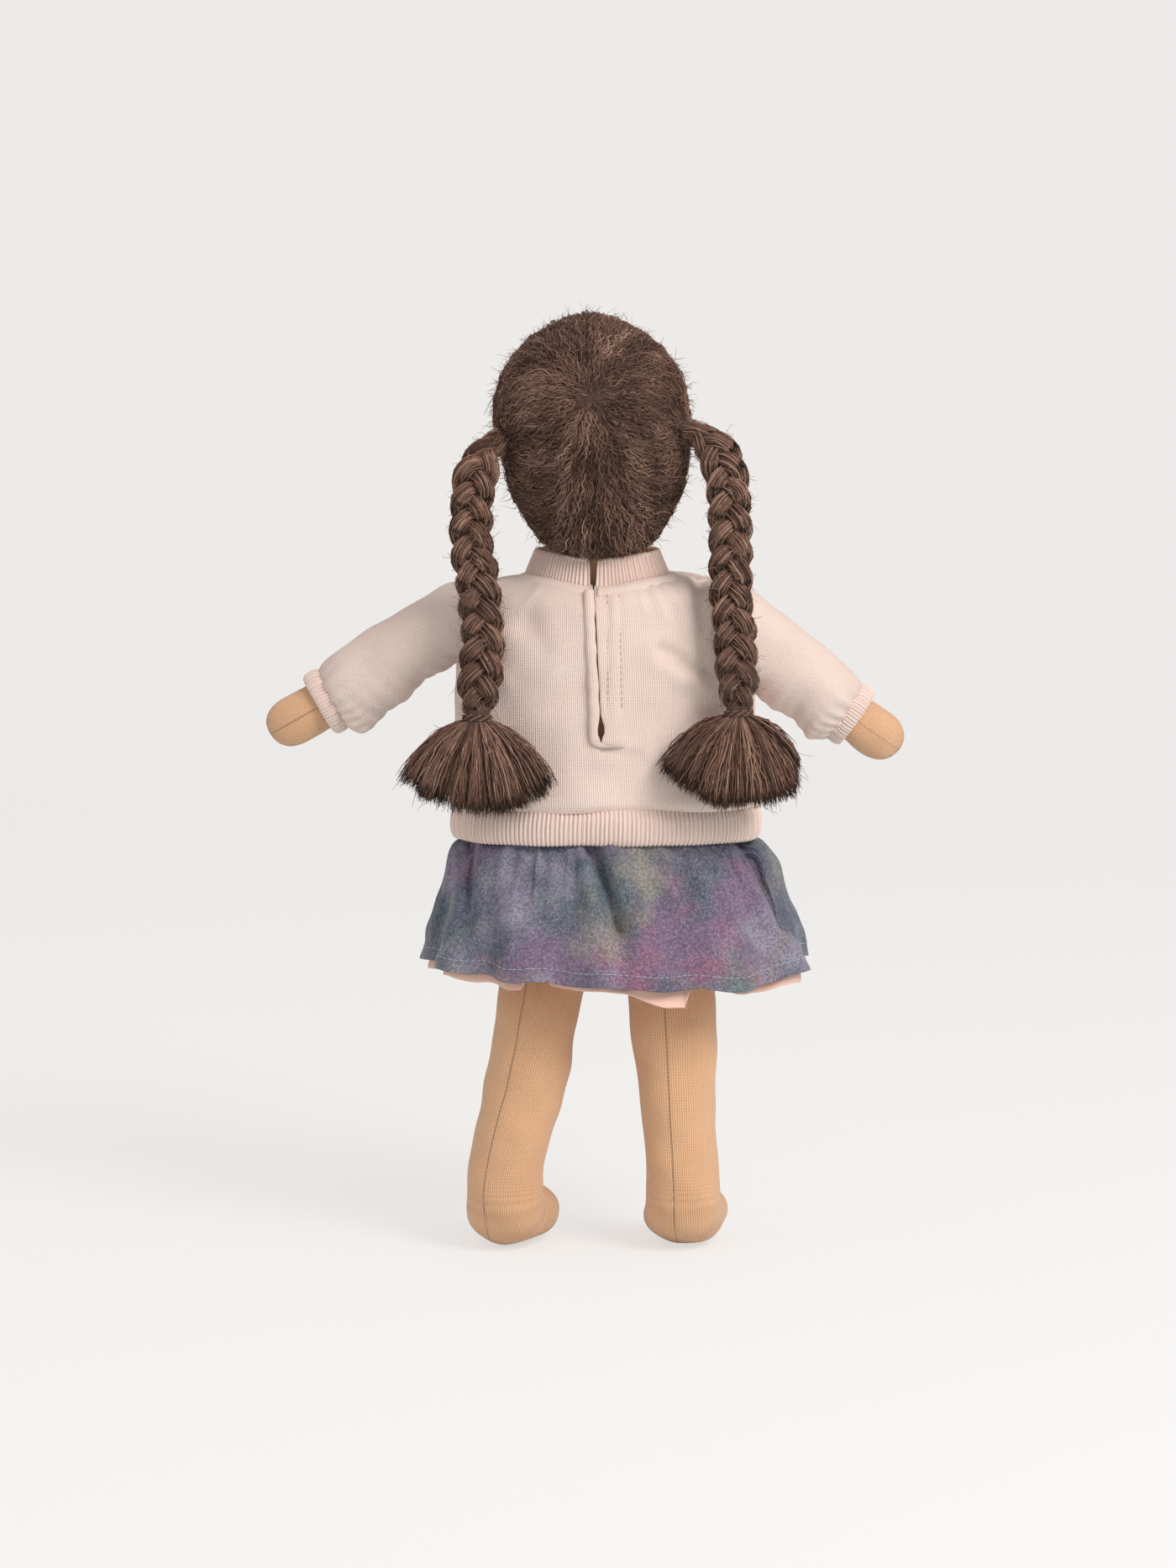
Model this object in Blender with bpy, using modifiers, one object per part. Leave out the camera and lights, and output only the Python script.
"""Rag doll in a sweater and a lined skirt, standing, with two plaits.

Metres, +Z up. The doll faces -Y, its left is +X, and it stands on Z = 0.
Every soft piece is a closed solid: a stuffed form, a sheet of cloth with its
thickness, or a strand of hair. Moving pieces hang on empties that lie on the
axes they turn about.
"""
import math

import bpy
from mathutils import Matrix, Vector

# Clearance between pieces, and how far a cutter runs past what it cuts
GAP = 0.0003
OVERRUN = 0.020

# Heights above the floor
HIP_Z = 0.143
WAIST_Z = 0.190
SHOULDER_Z = 0.288
NECK_TURN_Z = 0.302
HEAD_Z = 0.3515
HAIR_TOP_Z = 0.4025

# Sideways places: the doll leans a little, so each part has its own middle
BODY_X = -0.0070
SHOULDER_X = -0.0045
NECK_X = -0.0040
HEAD_X = -0.0010

# Torso
TORSO_WIDTH = 0.104
TORSO_DEPTH = 0.056

# Legs: the flat hip seam, the tube and the foot
HIP_ROUND = 0.003
HIP_SEAM_WIDTH = 0.042
LEG_WIDTH = 0.0365
LEG_DEPTH = 0.036
ANKLE_Z = 0.031
ANKLE_Y = 0.013
FOOT_LENGTH = 0.056
FOOT_WIDTH = 0.034
FOOT_HEIGHT = 0.025
SOLE_CUT = 0.0005
LEFT_HIP_X = 0.0150
LEFT_ANKLE_X = 0.0350
RIGHT_HIP_X = -0.0310
RIGHT_ANKLE_X = -0.0415
TOE_TURN = math.radians(-20)

# Arms: the shoulder is a round end that turns about a line along Y
SHOULDER_SPREAD = 0.052
LEFT_SHOULDER_Z = 0.2720
RIGHT_SHOULDER_Z = 0.2690
ARM_LENGTH = 0.0710
HAND_LENGTH = 0.0250
HAND_WIDTH = 0.0215
HAND_DEPTH = 0.0170
LEFT_ARM_DROP = math.radians(30)
RIGHT_ARM_DROP = math.radians(34)
LEFT_ARM_FORWARD = math.radians(4)
RIGHT_ARM_FORWARD = math.radians(22)
ARM_LOWER_TRAVEL = math.radians(15)
ARM_RAISE_TRAVEL = math.radians(70)

# Sleeves and cuffs
SLEEVE_RADIUS = 0.0170
SLEEVE_DEPTH = 0.0225
SLEEVE_WALL = 0.0028
ARM_STUB_RADIUS = 0.0068
CUFF_LENGTH = 0.0060
CUFF_WIDTH = 0.0280
CUFF_WALL = 0.0030

# Neck and head
NECK_RADIUS = 0.0190
HEAD_WIDTH = 0.0700
HEAD_DEPTH = 0.0720
HEAD_HEIGHT = 0.0850
HEAD_RIM_RISE = 0.0095

# Hair: the cap, the front locks and the two plaits
HAIR_WIDTH = 0.0810
HAIR_DEPTH = 0.0880
HAIR_HEIGHT = 0.1060
HAIRLINE_TOP_Y = -0.0330
HAIRLINE_TILT = math.radians(22)
FRONT_LOCK_DEPTH = 0.0200
FRONT_LOCK_DROP = 0.0680
PARTING_WIDTH = 0.0014
NAPE_RADIUS = 0.0265
PLAIT_RADIUS = 0.0021
PLAIT_REACH = 0.0056
PLAIT_LIFT = 0.0043
PLAIT_PERIOD = 0.0320
TIE_HEIGHT = 0.0046
TIE_DRAW_IN = 0.0010
TASSEL_HEIGHT = 0.0410
TASSEL_WIDTH = 0.0600
TASSEL_DEPTH = 0.0170

# Sweater: body, hem, neckband, neck tape and the slit with its facing
SWEATER_WIDTH = 0.1270
SWEATER_DEPTH = 0.0680
SWEATER_BOTTOM_Z = 0.1925
SWEATER_WALL = 0.0016
HEM_HEIGHT = 0.0150
HEM_DEPTH = 0.0740
HEM_WALL = 0.0026
NECKBAND_WIDTH = 0.0600
NECKBAND_DEPTH = 0.0540
NECKBAND_HEIGHT = 0.0105
NECKBAND_TAPER = 0.0036
NECKBAND_WALL = 0.0022
NECK_TAPE_WIDTH = 0.0040
NECK_TAPE_WALL = 0.0008
SLIT_WIDTH = 0.0034
SLIT_TOP_X = 0.0000
SLIT_BOTTOM_X = -0.0040
SLIT_BOTTOM_Z = 0.2250
FACING_WIDTH = 0.0036
FACING_WALL = 0.0008

# Skirt, its lining and the elastic that gathers them
SKIRT_TOP_WIDTH = 0.1160
SKIRT_TOP_DEPTH = 0.0672
SKIRT_WALL = 0.0010
SKIRT_HEM_Z = 0.1235
SKIRT_HEM_WIDTH = 0.1640
SKIRT_HEM_DEPTH = 0.1080
SKIRT_HEM_X = -0.0133
SKIRT_BACK_DROP = 0.0055
FOLD_DEPTH = 0.0042
LINING_WALL = 0.0008
LINING_SPACE = 0.0016
LINING_DROP = 0.0058
ELASTIC_HEIGHT = 0.0100
ELASTIC_WALL = 0.0012

# Counts of facets and steps, and how square the ovals are (2 is round)
ROUND_SIDES = 16
CAGE_SIDES = 12
CLOTH_SIDES = 40
SKIRT_SIDES = 60
ROUTE_STEPS = 24
PLAIT_STEPS = 10
DOME_STEPS = 5
BODY_SQUARENESS = 2.3
SWEATER_SQUARENESS = 2.4

UP = Vector((0, 0, 1))
SIDEWAYS = Vector((1, 0, 0))
BACKWARD = Vector((0, 1, 0))

TORSO_SHARES = [
    # height, width, depth
    (0.00, 0.80, 0.06),
    (0.03, 0.88, 0.30),
    (0.08, 0.95, 0.62),
    (0.16, 0.99, 0.88),
    (0.28, 1.00, 1.00),
    (0.48, 0.95, 1.00),
    (0.70, 0.92, 1.00),
    (0.88, 0.90, 0.93),
    (0.96, 0.76, 0.80),
    (1.00, 0.44, 0.62),
]
HIP_EDGE_SHARES = [
    # rise, thickness
    (0.90, 0.30),
    (0.62, 0.76),
    (0.00, 1.00),
]
LEG_SHARES = [
    # way from hip to ankle, width, depth
    (0.10, 0.98, 0.40),
    (0.24, 1.02, 0.86),
    (0.45, 0.98, 0.99),
    (0.68, 0.96, 0.96),
    (0.86, 0.90, 0.90),
    (1.00, 0.86, 0.90),
]
FOOT_SHARES = [
    # turn from down to forward, reach along the foot, rise, width, thickness
    (0.20, -0.010, 0.78, 0.93, 1.10),
    (0.45, 0.030, 0.62, 1.00, 1.16),
    (0.75, 0.120, 0.53, 1.02, 1.10),
    (1.00, 0.270, 0.49, 1.00, 0.99),
    (1.00, 0.450, 0.47, 0.95, 0.94),
    (1.00, 0.590, 0.455, 0.80, 0.86),
    (1.00, 0.670, 0.44, 0.48, 0.58),
]
SWEATER_SHARES = [
    # height, width, depth
    (0.000, 1.000, 1.00),
    (0.060, 1.020, 1.01),
    (0.200, 1.005, 1.00),
    (0.450, 0.990, 0.99),
    (0.700, 0.985, 0.98),
    (0.850, 0.980, 0.97),
    (0.920, 0.930, 0.93),
    (0.965, 0.800, 0.87),
    (0.990, 0.620, 0.80),
    (1.000, 0.410, 0.70),
]
SLEEVE_SHARES = [
    # way along the arm, half width, half depth
    (0.00, 1.00, 1.00),
    (0.15, 0.99, 0.93),
    (0.35, 0.98, 0.83),
    (0.60, 1.00, 0.78),
    (0.80, 1.01, 0.77),
    (0.92, 0.96, 0.74),
    (1.00, 0.86, 0.66),
]
ARM_STUB_SHARES = [
    # way in from the shoulder point, width, depth
    (1.00, 0.48, 0.35),
    (0.72, 0.56, 0.43),
    (0.42, 0.80, 0.72),
    (0.18, 0.96, 0.94),
]
CUFF_SHARES = [
    # way along, girth
    (0.00, 0.96),
    (0.50, 1.00),
    (1.00, 0.96),
]
HAND_SHARES = [
    # way along the hand, width, depth
    (0.00, 0.90, 1.00),
    (0.25, 0.96, 1.02),
    (0.50, 1.02, 1.00),
    (0.72, 0.98, 0.92),
    (0.88, 0.78, 0.74),
    (0.97, 0.42, 0.42),
]
HEAD_SHARES = [
    # height from the middle, width, depth, forward
    (-0.50, 0.34, 0.34, 0.00),
    (-0.45, 0.66, 0.66, 0.02),
    (-0.30, 0.94, 0.92, 0.03),
    (-0.05, 1.04, 1.03, 0.02),
    (0.20, 1.01, 1.03, 0.00),
    (0.40, 0.77, 0.79, 0.00),
    (0.50, 0.36, 0.38, 0.00),
]
HAIR_SHARES = [
    # height from the top down, half width, back, front, sideways
    (-1.00, 0.36, 0.70, 0.30, -0.040),
    (-0.93, 0.55, 0.80, 0.50, -0.040),
    (-0.80, 0.83, 0.93, 0.78, -0.038),
    (-0.60, 1.01, 1.02, 0.96, -0.024),
    (-0.38, 1.06, 1.04, 1.00, 0.000),
    (-0.20, 0.99, 0.95, 0.97, 0.000),
    (-0.07, 0.75, 0.73, 0.75, 0.000),
    (0.00, 0.34, 0.34, 0.34, 0.000),
]
TASSEL_SHARES = [
    # way down, width, depth
    (0.00, 0.17, 0.56),
    (0.20, 0.34, 0.78),
    (0.50, 0.68, 1.00),
    (0.80, 0.96, 1.04),
    (1.00, 1.00, 0.86),
]
TIE_SHARES = [
    # way down, girth
    (0.00, 0.88),
    (0.25, 1.00),
    (0.75, 1.00),
    (1.00, 0.88),
]
SKIRT_SHARES = [
    # way from the hem up, growth of the width, growth of the depth, fold
    (0.00, 1.00, 1.00, 1.05),
    (0.20, 0.86, 0.84, 1.00),
    (0.45, 0.62, 0.58, 0.75),
    (0.70, 0.34, 0.26, 0.40),
    (0.78, 0.06, 0.00, 0.10),
    (1.00, 0.00, 0.00, 0.10),
]
FOLD_WAVES = [
    # share, count round the skirt, shift
    (0.75, 11, 1.1),
    (0.25, 3, 0.6),
]

# Plait routes, chosen by hand: x, y and z of the middle line from root to tie
LEFT_PLAIT_ROUTE = [
    (0.0365, 0.0195, 0.3475),
    (0.0440, 0.0265, 0.3405),
    (0.0480, 0.0320, 0.3260),
    (0.0486, 0.0345, 0.3060),
    (0.0456, 0.0360, 0.2860),
    (0.0440, 0.0370, 0.2650),
    (0.0455, 0.0385, 0.2450),
    (0.0462, 0.0395, 0.2345),
]
RIGHT_PLAIT_ROUTE = [
    (-0.0410, 0.0195, 0.3510),
    (-0.0510, 0.0255, 0.3460),
    (-0.0575, 0.0305, 0.3330),
    (-0.0592, 0.0340, 0.3150),
    (-0.0592, 0.0355, 0.2930),
    (-0.0608, 0.0370, 0.2700),
    (-0.0622, 0.0385, 0.2500),
    (-0.0628, 0.0395, 0.2365),
]


# Modelling helpers

def material(name, colour, roughness):
    """A Principled BSDF of one colour."""
    made = bpy.data.materials.new(name)
    made.use_nodes = True
    shader = made.node_tree.nodes["Principled BSDF"]
    shader.inputs["Base Color"].default_value = (*colour, 1)
    shader.inputs["Roughness"].default_value = roughness
    shader.inputs["Metallic"].default_value = 0
    return made


def smooth(stations, steps):
    """Rows of a table with Catmull-Rom rows between them."""
    rows = []
    last = len(stations) - 1
    for i in range(last):
        before = stations[max(i - 1, 0)]
        here = stations[i]
        after = stations[i + 1]
        beyond = stations[min(i + 2, last)]
        for step in range(steps):
            t = step / steps
            row = []
            for p, q, r, s in zip(before, here, after, beyond):
                bend = 2 * q + (r - p) * t + (2 * p - 5 * q + 4 * r - s) * t ** 2
                row.append((bend + (3 * q - p - 3 * r + s) * t ** 3) / 2)
            rows.append(tuple(row))
    rows.append(tuple(stations[-1]))
    return rows


def rounded(value, power):
    """A sine or cosine bent towards a superellipse."""
    return math.copysign(abs(value) ** (2 / power), value)


def oval(centre, across, deep, half_width, half_depth, sides=ROUND_SIDES, power=2.0):
    """A ring of points about a centre, in the plane of two directions."""
    ring = []
    for i in range(sides):
        angle = 2 * math.pi * i / sides
        u = rounded(math.cos(angle), power) * half_width
        v = rounded(math.sin(angle), power) * half_depth
        ring.append(centre + across * u + deep * v)
    return ring


def add_mesh(name, points, faces, look, owner):
    """A mesh object, shaded smooth, in a collection."""
    mesh = bpy.data.meshes.new(name)
    mesh.from_pydata([tuple(p) for p in points], [], faces)
    mesh.update()
    mesh.shade_smooth()
    if look:
        mesh.materials.append(look)
    made = bpy.data.objects.new(name, mesh)
    owner.objects.link(made)
    return made


def side_faces(rows, closed):
    """Quads between rows of points, each row seen counter-clockwise from its front."""
    sides = len(rows[0])
    faces = []
    for r in range(len(rows) - 1):
        for i in range(sides if closed else sides - 1):
            j = (i + 1) % sides
            low = r * sides
            high = low + sides
            faces.append((low + i, low + j, high + j, high + i))
    return faces


def loft(name, rings, look):
    """A closed form through rings, each counter-clockwise about the way they run."""
    sides = len(rings[0])
    points = [p for ring in rings for p in ring]
    faces = side_faces(rings, True)
    faces.append(tuple(reversed(range(sides))))
    faces.append(tuple(range(len(points) - sides, len(points))))
    return add_mesh(name, points, faces, look, parts)


def cloth(name, rows, wall, look, closed=True):
    """A sheet of cloth: rows from bottom to top, with its thickness inside them."""
    points = [p for row in rows for p in row]
    made = add_mesh(name, points, side_faces(rows, closed), look, parts)
    modifier = made.modifiers.new("wall", "SOLIDIFY")
    modifier.thickness = wall
    modifier.offset = -1
    modifier.use_even_offset = True
    return made


def soften(item, levels):
    """Subdivision Surface on a coarse cage."""
    modifier = item.modifiers.new("soft", "SUBSURF")
    modifier.levels = levels
    modifier.render_levels = levels


def combine(item, other, operation="DIFFERENCE"):
    """Boolean with the exact solver."""
    modifier = item.modifiers.new(other.name, "BOOLEAN")
    modifier.operation = operation
    modifier.object = other
    modifier.solver = "EXACT"


def as_cutter(item):
    """Keep an object out of the model, as a wire."""
    for owner in list(item.users_collection):
        owner.objects.unlink(item)
    cutters.objects.link(item)
    item.hide_render = True
    item.display_type = "WIRE"
    return item


def grown(item):
    """A cutter with the shape of another piece, a clearance larger all round."""
    copy = item.copy()
    copy.data = item.data.copy()
    copy.name = item.name + "_clearance"
    parts.objects.link(copy)
    modifier = copy.modifiers.new("clearance", "DISPLACE")
    modifier.strength = GAP
    modifier.mid_level = 0
    return as_cutter(copy)


def prism_cutter(name, outline, front_y, back_y):
    """A cutter that runs from front to back, from (x, z) points, anticlockwise from the front."""
    points = [(x, front_y, z) for x, z in outline] + [(x, back_y, z) for x, z in outline]
    count = len(outline)
    faces = [tuple(range(count)), tuple(reversed(range(count, 2 * count)))]
    for i in range(count):
        j = (i + 1) % count
        faces.append((j, i, count + i, count + j))
    return as_cutter(add_mesh(name, points, faces, None, parts))


def ball_cutter(name, centre, radius):
    """A round cutter."""
    bpy.ops.mesh.primitive_uv_sphere_add(
        segments=2 * ROUND_SIDES, ring_count=ROUND_SIDES, radius=radius, location=centre)
    made = bpy.context.object
    made.name = name
    return as_cutter(made)


def rod_cutter(name, centre, radius, height):
    """An upright cylinder."""
    bpy.ops.mesh.primitive_cylinder_add(
        vertices=2 * ROUND_SIDES, radius=radius, depth=height, location=centre)
    made = bpy.context.object
    made.name = name
    return as_cutter(made)


def box_cutter(name, low, high, corner=Vector(), tilt=0.0):
    """A box between two points, counted from a corner and turned about X there."""
    bpy.ops.mesh.primitive_cube_add(size=1, location=corner, rotation=(tilt, 0, 0))
    made = bpy.context.object
    made.name = name
    low = Vector(low)
    high = Vector(high)
    made.data.transform(Matrix.Translation((low + high) / 2) @ Matrix.Diagonal((*(high - low), 1)))
    return as_cutter(made)


def pivot(name, place):
    """An empty on a joint's axis."""
    empty = bpy.data.objects.new(name, None)
    empty.location = place
    empty.empty_display_size = NECK_RADIUS
    parts.objects.link(empty)
    return empty


def hang_on(empty, items):
    """Give pieces the joint's place as their origin and parent them to its empty."""
    for item in items:
        item.data.transform(Matrix.Translation(-empty.location))
        item.parent = empty


# Body

def make_torso(look):
    """The stuffed body, flat-sewn along the bottom."""
    bottom = HIP_Z + HIP_ROUND + GAP
    rings = []
    for rise, width, depth in smooth(TORSO_SHARES, 2):
        centre = Vector((BODY_X, 0, bottom + rise * (SHOULDER_Z - bottom)))
        rings.append(oval(centre, SIDEWAYS, BACKWARD, width * TORSO_WIDTH / 2,
                          depth * TORSO_DEPTH / 2, ROUND_SIDES, BODY_SQUARENESS))
    return loft("torso", rings, look)


def make_leg(side_name, hip, ankle_x, look):
    """A stuffed leg: flat at the hip seam, round below, with its foot in one piece."""
    rings = []
    for rise_share, thick_share in HIP_EDGE_SHARES:
        centre = hip + UP * (rise_share * HIP_ROUND)
        rings.append(oval(centre, -SIDEWAYS, BACKWARD, HIP_SEAM_WIDTH / 2, thick_share * HIP_ROUND))
    ankle = Vector((ankle_x, ANKLE_Y, ANKLE_Z))
    for way, width, depth in LEG_SHARES:
        rings.append(oval(hip.lerp(ankle, way), -SIDEWAYS, BACKWARD, width * LEG_WIDTH / 2,
                          depth * LEG_DEPTH / 2))
    forward = Matrix.Rotation(TOE_TURN, 3, "Z") @ -BACKWARD
    sideways = UP.cross(forward)
    for turn, reach, rise, width, thick in smooth(FOOT_SHARES, 2):
        angle = turn * math.pi / 2
        centre = ankle + forward * (reach * FOOT_LENGTH)
        centre.z = rise * FOOT_HEIGHT - SOLE_CUT
        rings.append(oval(centre, -sideways, -UP * math.sin(angle) - forward * math.cos(angle),
                          width * FOOT_WIDTH / 2, thick * FOOT_HEIGHT / 2, ROUND_SIDES,
                          BODY_SQUARENESS))
    leg = loft("leg_" + side_name, rings, look)
    reach = FOOT_LENGTH + OVERRUN
    combine(leg, box_cutter("floor_" + side_name, (ankle_x - reach, -reach, -OVERRUN),
                            (ankle_x + reach, reach, 0)))
    return leg


def make_neck(look):
    """The neck: a round stub with a domed top that the head nods on."""
    rings = []
    for z in (SHOULDER_Z + GAP, NECK_TURN_Z):
        rings.append(oval(Vector((NECK_X, 0, z)), SIDEWAYS, BACKWARD, NECK_RADIUS, NECK_RADIUS))
    for step in range(1, DOME_STEPS):
        angle = math.pi / 2 * step / DOME_STEPS
        radius = NECK_RADIUS * math.cos(angle)
        centre = Vector((NECK_X, 0, NECK_TURN_Z + NECK_RADIUS * math.sin(angle)))
        rings.append(oval(centre, SIDEWAYS, BACKWARD, radius, radius))
    return loft("neck", rings, look)


def make_head(look):
    """The stuffed head, cupped underneath over the neck's dome."""
    rings = []
    for rise, width, depth, forward in HEAD_SHARES:
        centre = Vector((HEAD_X, -forward * HEAD_DEPTH, HEAD_Z + rise * HEAD_HEIGHT))
        rings.append(oval(centre, SIDEWAYS, BACKWARD, width * HEAD_WIDTH / 2,
                          depth * HEAD_DEPTH / 2, CAGE_SIDES))
    head = loft("head", rings, look)
    soften(head, 1)
    neck_top = Vector((NECK_X, 0, NECK_TURN_Z))
    combine(head, ball_cutter("neck_socket", neck_top, NECK_RADIUS + 2 * GAP))
    combine(head, box_cutter("head_rim", (-HEAD_WIDTH, -HEAD_DEPTH, -HEAD_HEIGHT),
                             (HEAD_WIDTH, HEAD_DEPTH, HEAD_RIM_RISE), neck_top))
    return head


# Hair

def hair_form(name, look):
    """The whole outer form of the hair, before it is divided."""
    rings = []
    for rise, half_width, back, front, sideways in HAIR_SHARES:
        centre = Vector((HEAD_X + sideways * HAIR_WIDTH, (back - front) * HAIR_DEPTH / 4,
                         HAIR_TOP_Z + rise * HAIR_HEIGHT))
        rings.append(oval(centre, SIDEWAYS, BACKWARD, half_width * HAIR_WIDTH / 2,
                          (back + front) * HAIR_DEPTH / 4, CAGE_SIDES))
    hair = loft(name, rings, look)
    soften(hair, 1)
    return hair


def make_hair(head, look, front_look):
    """The hair at the back, and a lock on each side of the parting in front of it."""
    hairline = Vector((HEAD_X, HAIRLINE_TOP_Y, HAIR_TOP_Z))
    wide = HAIR_WIDTH
    tall = HAIR_HEIGHT * 2
    head_space = grown(head)
    face = box_cutter("face_space", (-wide, -tall, -tall), (wide, 0, tall), hairline, HAIRLINE_TILT)
    lock_zone = box_cutter("lock_zone", (-wide, 0, -FRONT_LOCK_DROP), (wide, FRONT_LOCK_DEPTH, tall),
                           hairline, HAIRLINE_TILT)
    lock_space = box_cutter("lock_space", (-wide, -GAP, -FRONT_LOCK_DROP - GAP),
                            (wide, FRONT_LOCK_DEPTH + GAP, tall), hairline, HAIRLINE_TILT)
    nape = rod_cutter("nape_space", Vector((NECK_X, 0, NECK_TURN_Z)), NAPE_RADIUS, HAIR_HEIGHT / 2)
    cap = hair_form("hair_cap", look)
    for cutter in (face, lock_space, head_space, nape):
        combine(cap, cutter)
    pieces = [cap]
    for side_name, side in (("left", 1), ("right", -1)):
        lock = hair_form("front_lock_" + side_name, front_look)
        combine(lock, head_space)
        combine(lock, lock_zone, "INTERSECT")
        other_half = sorted((-side * wide, side * PARTING_WIDTH / 2))
        parting = box_cutter("parting_" + side_name, (other_half[0], -tall, -tall),
                             (other_half[1], tall, tall), hairline)
        combine(lock, parting)
        pieces.append(lock)
    return pieces


def even_points(route, spacing):
    """Points of a smooth curve through a route, at an even spacing."""
    fine = [Vector(p) for p in smooth(route, ROUTE_STEPS)]
    points = [fine[0]]
    travelled = 0.0
    for a, b in zip(fine, fine[1:]):
        travelled += (b - a).length
        if travelled >= spacing:
            points.append(b)
            travelled = 0.0
    return points


def strand_curve(name, points, look):
    """A strand of hair: a curve with a bevel and filled caps."""
    data = bpy.data.curves.new(name, "CURVE")
    data.dimensions = "3D"
    data.bevel_depth = PLAIT_RADIUS
    data.bevel_resolution = 1
    data.use_fill_caps = True
    spline = data.splines.new("POLY")
    spline.points.add(len(points) - 1)
    for knot, place in zip(spline.points, points):
        knot.co = (*place, 1)
    spline.use_smooth = True
    data.materials.append(look)
    made = bpy.data.objects.new(name, data)
    parts.objects.link(made)
    return made


def make_plait(side_name, route, look, tie_look):
    """Three strands laid over and under each other, a wound tie and a loose end.

    Across the plait a strand follows REACH sin(t), in its depth LIFT sin(2 t),
    and the three are a third of a period apart.
    """
    middle = even_points(route, PLAIT_PERIOD / PLAIT_STEPS)
    places = []
    travelled = 0.0
    for i, point in enumerate(middle):
        along = (middle[min(i + 1, len(middle) - 1)] - middle[max(i - 1, 0)]).normalized()
        across = BACKWARD.cross(along).normalized()
        if i:
            travelled += (point - middle[i - 1]).length
        places.append((point, across, along.cross(across), travelled))
    root, across, deep, travelled = places[0]
    inward = deep.cross(across)
    along = places[-1][1].cross(places[-1][2])
    seat_radius = PLAIT_REACH + PLAIT_RADIUS + GAP
    pieces = []
    for number, letter in enumerate("abc"):
        points = []
        for point, across, deep, travelled in places:
            turn = 2 * math.pi * (travelled / PLAIT_PERIOD + number / 3)
            points.append(point + across * (PLAIT_REACH * math.sin(turn))
                          + deep * (PLAIT_LIFT * math.sin(2 * turn)))
        points.append(points[-1] + along * PLAIT_RADIUS)
        room = seat_radius ** 2 - ((points[0] - root).length + PLAIT_RADIUS) ** 2
        if room > 0:
            points.insert(0, points[0] + inward * math.sqrt(room))
        pieces.append(strand_curve("plait_%s_strand_%s" % (side_name, letter), points, look))
    end, across, deep, travelled = places[-1]
    tie_top = end + along * (PLAIT_RADIUS + GAP)
    rings = []
    for way, girth in TIE_SHARES:
        rings.append(oval(tie_top + along * (way * TIE_HEIGHT), across, deep,
                          girth * (PLAIT_REACH + PLAIT_RADIUS - TIE_DRAW_IN),
                          girth * (PLAIT_LIFT + PLAIT_RADIUS - TIE_DRAW_IN)))
    pieces.append(loft("plait_%s_tie" % side_name, rings, tie_look))
    tassel_top = tie_top + along * (TIE_HEIGHT + GAP)
    rings = []
    for way, width, depth in TASSEL_SHARES:
        rings.append(oval(tassel_top + along * (way * TASSEL_HEIGHT), across, deep,
                          width * TASSEL_WIDTH / 2, depth * TASSEL_DEPTH / 2, ROUND_SIDES,
                          BODY_SQUARENESS))
    pieces.append(loft("plait_%s_tassel" % side_name, rings, look))
    return pieces


# Arms and sleeves

def arm_lines(side):
    """Shoulder point, the arm's direction, that seen from the front, and the way across it."""
    height = LEFT_SHOULDER_Z if side > 0 else RIGHT_SHOULDER_Z
    drop = LEFT_ARM_DROP if side > 0 else RIGHT_ARM_DROP
    forward = LEFT_ARM_FORWARD if side > 0 else RIGHT_ARM_FORWARD
    shoulder = Vector((SHOULDER_X + side * SHOULDER_SPREAD, 0, height))
    flat = Vector((side * math.cos(drop), 0, -math.sin(drop)))
    along = Vector((flat.x * math.cos(forward), -math.cos(drop) * math.sin(forward), flat.z))
    along.normalize()
    return shoulder, along, flat, BACKWARD.cross(flat)


def limb_rings(side, inward, radius, depth):
    """Rings from the shoulder's round end out to the wrist."""
    shoulder, along, flat, across = arm_lines(side)
    rings = []
    for distance, half_width, half_depth in inward:
        rings.append(oval(shoulder - flat * distance, across, BACKWARD, half_width, half_depth))
    for way, width, thick in SLEEVE_SHARES:
        rings.append(oval(shoulder + along * (way * ARM_LENGTH), across, BACKWARD, width * radius,
                          thick * depth))
    return rings


def make_arm(side_name, side, look):
    """The stuffed arm with its hand, and the stub that meets the torso."""
    inner = SLEEVE_RADIUS - SLEEVE_WALL
    inner_depth = SLEEVE_DEPTH - SLEEVE_WALL
    reach = math.sqrt(SLEEVE_RADIUS ** 2 - ARM_STUB_RADIUS ** 2)
    inward = []
    for way, width, depth in ARM_STUB_SHARES:
        inward.append((reach * way, width * inner, depth * inner_depth))
    inward[0] = (reach, ARM_STUB_RADIUS, ARM_STUB_RADIUS)
    rings = limb_rings(side, inward, inner, inner_depth)
    shoulder, along, flat, across = arm_lines(side)
    wrist = shoulder + along * (ARM_LENGTH + CUFF_LENGTH / 2)
    for way, width, depth in HAND_SHARES:
        centre = wrist + along * (way * (HAND_LENGTH + CUFF_LENGTH / 2))
        rings.append(oval(centre, across, BACKWARD, width * HAND_WIDTH / 2, depth * HAND_DEPTH / 2))
    return loft("arm_" + side_name, rings, look)


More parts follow.
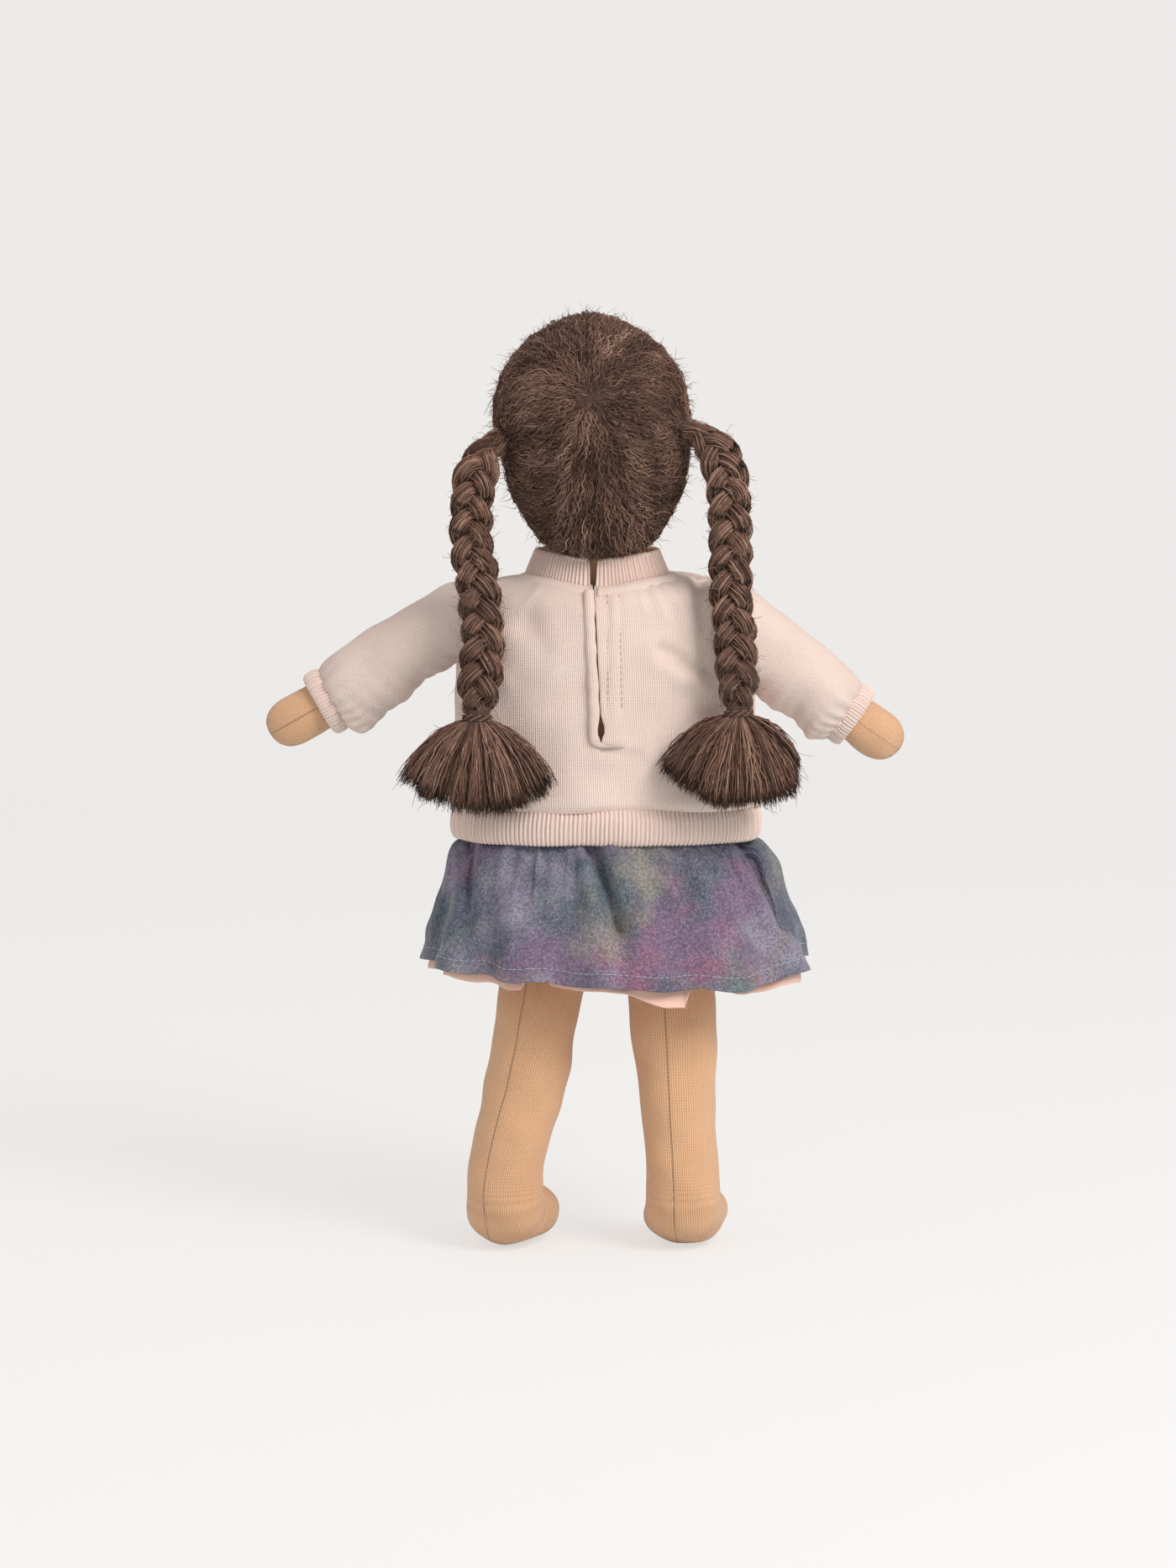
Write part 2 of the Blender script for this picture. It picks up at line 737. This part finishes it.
def make_sleeve(side_name, side, arm, look, cuff_look):
    """The sleeve over the arm, round at the shoulder, and its ribbed cuff."""
    inward = []
    for step in range(1, DOME_STEPS + 1):
        angle = math.pi / 2 * (1 - step / (DOME_STEPS + 1))
        inward.append((SLEEVE_RADIUS * math.sin(angle), SLEEVE_RADIUS * math.cos(angle),
                       SLEEVE_DEPTH * math.cos(angle)))
    sleeve = loft("sleeve_" + side_name, limb_rings(side, inward, SLEEVE_RADIUS, SLEEVE_DEPTH), look)
    shoulder, along, flat, across = arm_lines(side)
    rings = []
    for way, girth in CUFF_SHARES:
        centre = shoulder + along * (ARM_LENGTH + GAP + way * CUFF_LENGTH)
        rings.append(oval(centre, across, BACKWARD, girth * CUFF_WIDTH / 2,
                          girth * (HAND_DEPTH / 2 + CUFF_WALL)))
    cuff = loft("cuff_" + side_name, rings, cuff_look)
    arm_space = grown(arm)
    combine(sleeve, arm_space)
    combine(cuff, arm_space)
    return sleeve, cuff


def armhole_cutter(side_name, side):
    """The round seat of a shoulder, opened out into the wedge that the arm sweeps."""
    shoulder, along, flat, across = arm_lines(side)
    facets = 2 * ROUND_SIDES
    low = math.atan2(along.z, abs(along.x)) - ARM_LOWER_TRAVEL
    high = math.atan2(flat.z, abs(flat.x)) + ARM_RAISE_TRAVEL
    first = high + math.pi / 2
    turn = low - high + math.pi
    spread = (SLEEVE_RADIUS + GAP) / math.cos(turn / facets / 2)
    outline = []
    for i in range(facets + 1):
        angle = first + turn * i / facets
        outline.append(Vector((math.cos(angle), math.sin(angle))) * spread)
    far = ARM_LENGTH + HAND_LENGTH
    reach = [Vector((math.cos(angle), math.sin(angle))) * far
             for angle in (low, (low + high) / 2, high)]
    outline += [outline[-1] + reach[0], reach[1] * 2, outline[0] + reach[2]]
    places = [(shoulder.x + side * p.x, shoulder.z + p.y) for p in outline]
    if side < 0:
        places.reverse()
    return prism_cutter("armhole_" + side_name, places, -SWEATER_DEPTH, SWEATER_DEPTH)


# Sweater

def sweater_height():
    """Height of the sweater's body without its hem."""
    return SHOULDER_Z + SWEATER_WALL - SWEATER_BOTTOM_Z


def sweater_ring(rise, width, depth, offset):
    """A level ring of the sweater's outer face, moved out and up by an offset."""
    centre = Vector((BODY_X, 0, SWEATER_BOTTOM_Z + rise * sweater_height() + offset))
    return oval(centre, SIDEWAYS, BACKWARD, width * SWEATER_WIDTH / 2 + offset,
                depth * SWEATER_DEPTH / 2 + offset, CLOTH_SIDES, SWEATER_SQUARENESS)


def sweater_back(x, z):
    """How far back the sweater's outer face lies at a place on the back."""
    rise = (z - SWEATER_BOTTOM_Z) / sweater_height()
    for low, high in zip(SWEATER_SHARES, SWEATER_SHARES[1:]):
        if low[0] <= rise <= high[0]:
            break
    t = (rise - low[0]) / (high[0] - low[0])
    half_width = (low[1] + (high[1] - low[1]) * t) * SWEATER_WIDTH / 2
    half_depth = (low[2] + (high[2] - low[2]) * t) * SWEATER_DEPTH / 2
    share = 1 - abs((x - BODY_X) / half_width) ** SWEATER_SQUARENESS
    return half_depth * share ** (1 / SWEATER_SQUARENESS)


def slit_cutter(name, widen):
    """A cutter for the slit at the back, drop-shaped at its lower end."""
    half = SLIT_WIDTH / 2 + widen
    low = SLIT_BOTTOM_Z - widen
    high = SHOULDER_Z + OVERRUN
    outline = [
        (SLIT_BOTTOM_X, low),
        (SLIT_BOTTOM_X + half, low + half),
        (SLIT_TOP_X + half, high),
        (SLIT_TOP_X - half, high),
        (SLIT_BOTTOM_X - half, low + half),
    ]
    return prism_cutter(name, outline, GAP, SWEATER_DEPTH)


def make_sweater(look, tape_look):
    """The sweater's body, the tape round its neck hole and the facing of its slit."""
    rows = [sweater_ring(rise, width, depth, 0) for rise, width, depth in SWEATER_SHARES]
    body = cloth("sweater_body", rows, SWEATER_WALL, look)
    combine(body, slit_cutter("back_slit", 0))

    lift = GAP + NECK_TAPE_WALL
    edge = SWEATER_SHARES[-1]
    shoulder = SWEATER_SHARES[-2]
    share = NECK_TAPE_WIDTH / ((shoulder[1] - edge[1]) * SWEATER_WIDTH / 2)
    outer = [e + (s - e) * share for e, s in zip(edge, shoulder)]
    rows = [sweater_ring(*outer, lift), sweater_ring(*edge, lift)]
    tape = cloth("neck_tape", rows, NECK_TAPE_WALL, tape_look)
    combine(tape, slit_cutter("tape_slit", 0))

    lift = GAP + FACING_WALL
    heights = [SWEATER_BOTTOM_Z + rise * sweater_height() for rise, _, _ in SWEATER_SHARES[:-2]]
    rows = []
    for z in [SLIT_BOTTOM_Z] + [z for z in heights if z > SLIT_BOTTOM_Z]:
        lean = (z - SLIT_BOTTOM_Z) / (SHOULDER_Z - SLIT_BOTTOM_Z)
        inner_x = SLIT_BOTTOM_X + (SLIT_TOP_X - SLIT_BOTTOM_X) * lean + SLIT_WIDTH / 2
        row = []
        for x in (inner_x + FACING_WIDTH, inner_x + FACING_WIDTH / 2, inner_x):
            row.append(Vector((x, sweater_back(x, z) + lift, z)))
        rows.append(row)
    facing = cloth("slit_facing", rows, FACING_WALL, look, closed=False)
    return body, tape, facing


def band(name, low, height, width, depth, wall, centre_x, look, taper=0.0, opening=0.0, power=2.0):
    """A band of cloth round the body, which may be open at the back."""
    closed = not opening
    gap_angle = opening / (depth / 2)
    rows = []
    for share in (0.0, 1.0):
        row = []
        for i in range(CLOTH_SIDES + (0 if closed else 1)):
            angle = math.pi / 2 + gap_angle / 2 + (2 * math.pi - gap_angle) * i / CLOTH_SIDES
            x = centre_x + rounded(math.cos(angle), power) * (width / 2 - taper * share)
            y = rounded(math.sin(angle), power) * (depth / 2 - taper * share)
            row.append(Vector((x, y, low + share * height)))
        rows.append(row)
    return cloth(name, rows, wall, look, closed)


# Skirt

def skirt_rows(inset, extra_drop):
    """Rows of the skirt's outer face from the hem up, with folds that deepen downwards."""
    top_z = SWEATER_BOTTOM_Z - GAP
    rows = []
    for way, widen, deepen, fold in SKIRT_SHARES:
        half_width = (SKIRT_TOP_WIDTH + widen * (SKIRT_HEM_WIDTH - SKIRT_TOP_WIDTH)) / 2 - inset
        half_depth = (SKIRT_TOP_DEPTH + deepen * (SKIRT_HEM_DEPTH - SKIRT_TOP_DEPTH)) / 2 - inset
        centre_x = BODY_X + widen * (SKIRT_HEM_X - BODY_X)
        row = []
        for i in range(SKIRT_SIDES):
            angle = 2 * math.pi * i / SKIRT_SIDES
            wave = 0
            for share, count, shift in FOLD_WAVES:
                wave += share * math.cos(count * angle + shift)
            swell = fold * FOLD_DEPTH * wave
            back_drop = SKIRT_BACK_DROP * max(math.sin(angle), 0) ** 2
            hem_z = SKIRT_HEM_Z - extra_drop - back_drop
            row.append(Vector((centre_x + rounded(math.cos(angle), BODY_SQUARENESS) * (half_width + swell),
                               rounded(math.sin(angle), BODY_SQUARENESS) * (half_depth + swell),
                               hem_z + (top_z - hem_z) * way)))
        rows.append(row)
    return rows


# The whole doll

for item in list(bpy.data.objects):
    bpy.data.objects.remove(item, do_unlink=True)
parts = bpy.data.collections.new("rag_doll")
cutters = bpy.data.collections.new("cutters")
bpy.context.scene.collection.children.link(parts)
bpy.context.scene.collection.children.link(cutters)

skin_jersey = material("skin_jersey", (0.62, 0.37, 0.20), 0.85)
hair_yarn = material("hair_yarn", (0.14, 0.065, 0.040), 0.8)
front_hair_yarn = material("front_hair_yarn", (0.20, 0.10, 0.062), 0.8)
tie_yarn = material("tie_yarn", (0.10, 0.045, 0.028), 0.85)
sweater_knit = material("sweater_knit", (0.80, 0.62, 0.56), 0.9)
rib_knit = material("rib_knit", (0.74, 0.55, 0.50), 0.9)
dyed_cotton = material("dyed_cotton", (0.22, 0.24, 0.30), 0.85)
lining_cotton = material("lining_cotton", (0.84, 0.52, 0.42), 0.85)
elastic_tape = material("elastic_tape", (0.80, 0.78, 0.74), 0.8)

torso = make_torso(skin_jersey)
neck = make_neck(skin_jersey)
head = make_head(skin_jersey)
hair_pieces = make_hair(head, hair_yarn, front_hair_yarn)
for side_name, route in (("left", LEFT_PLAIT_ROUTE), ("right", RIGHT_PLAIT_ROUTE)):
    root = Vector(route[0])
    seat = ball_cutter("plait_seat_" + side_name, root, PLAIT_REACH + PLAIT_RADIUS + 2 * GAP)
    combine(hair_pieces[0], seat)
    hang_on(pivot("plait_pivot_" + side_name, root), make_plait(side_name, route, hair_yarn, tie_yarn))
hang_on(pivot("neck_pivot", Vector((NECK_X, 0, NECK_TURN_Z))), [neck, head, *hair_pieces])

sweater, neck_tape, slit_facing = make_sweater(sweater_knit, rib_knit)
for side_name, side in (("left", 1), ("right", -1)):
    armhole = armhole_cutter(side_name, side)
    combine(torso, armhole)
    combine(sweater, armhole)
    arm = make_arm(side_name, side, skin_jersey)
    shoulder_pivot = pivot("shoulder_" + side_name, arm_lines(side)[0])
    sleeve, cuff = make_sleeve(side_name, side, arm, sweater_knit, rib_knit)
    hang_on(shoulder_pivot, [arm, sleeve, cuff])

for side_name, hip_x, ankle_x in (("left", LEFT_HIP_X, LEFT_ANKLE_X),
                                  ("right", RIGHT_HIP_X, RIGHT_ANKLE_X)):
    hip = Vector((hip_x, 0, HIP_Z))
    hang_on(pivot("hip_" + side_name, hip), [make_leg(side_name, hip, ankle_x, skin_jersey)])

lean_drop = NECKBAND_WALL * NECKBAND_TAPER / NECKBAND_HEIGHT
band("neckband", SHOULDER_Z + SWEATER_WALL + NECK_TAPE_WALL + lean_drop + 2 * GAP, NECKBAND_HEIGHT,
     NECKBAND_WIDTH, NECKBAND_DEPTH, NECKBAND_WALL, NECK_X, rib_knit, taper=NECKBAND_TAPER,
     opening=2 * SLIT_WIDTH)
band("sweater_hem", SWEATER_BOTTOM_Z - GAP - HEM_HEIGHT, HEM_HEIGHT, SWEATER_WIDTH, HEM_DEPTH,
     HEM_WALL, BODY_X, rib_knit, power=SWEATER_SQUARENESS)
cloth("skirt", skirt_rows(0, 0), SKIRT_WALL, dyed_cotton)
cloth("skirt_lining", skirt_rows(SKIRT_WALL + LINING_SPACE, LINING_DROP), LINING_WALL, lining_cotton)
band("waist_elastic", WAIST_Z - ELASTIC_HEIGHT / 2, ELASTIC_HEIGHT,
     TORSO_WIDTH + 2 * (ELASTIC_WALL + GAP), TORSO_DEPTH + 2 * (ELASTIC_WALL + GAP),
     ELASTIC_WALL, BODY_X, elastic_tape, power=BODY_SQUARENESS)
